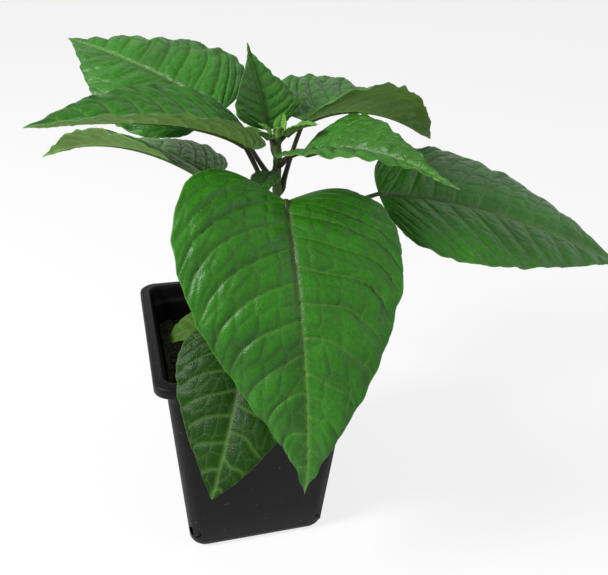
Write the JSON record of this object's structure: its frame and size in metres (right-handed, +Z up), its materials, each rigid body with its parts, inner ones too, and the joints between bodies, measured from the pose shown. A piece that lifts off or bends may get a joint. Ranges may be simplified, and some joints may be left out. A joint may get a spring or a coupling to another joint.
{
  "type": "potted chilli pepper plant",
  "caption": "Young chilli pepper plant with broad pointed leaves on arching stalks, growing in compost in a tapered square black nursery pot with a hanging lip.",
  "frame": {"origin": "middle of the pot's base, on the surface the pot stands on", "axes": "+Z up along the pot, +X and +Y along the pot's sides, the largest front leaf hangs over the -Y side"},
  "size_m": [0.2533, 0.1915, 0.2242],
  "materials": {
    "pot_plastic": "matt, slightly scuffed black polypropylene",
    "compost": "rough dark fibrous compost",
    "root": "matt pale root",
    "stem_green": "satin green stalk tinged purple",
    "leaf_green": "satin waxy deep green leaf, quilted between its veins",
    "young_leaf_green": "satin lighter green crinkled young leaf"
  },
  "bodies": {
    "root": {"pot": "pot_plastic", "soil": "compost", "roots": "root", "stem": "stem_green", "shoot_tip": "young_leaf_green", "leaf_over_soil": "leaf_green", "leaf_front_low": "leaf_green", "leaf_rear": "leaf_green", "leaf_right": "leaf_green", "leaf_left_low": "leaf_green", "leaf_front": "leaf_green", "leaf_back_left": "leaf_green", "leaf_back_right": "leaf_green", "leaf_left": "leaf_green", "leaf_right_young": "leaf_green", "leaf_top": "young_leaf_green", "leaf_tip_low": "young_leaf_green", "leaf_tip_left": "young_leaf_green", "leaf_tip_right": "young_leaf_green"}
  },
  "joints": []
}
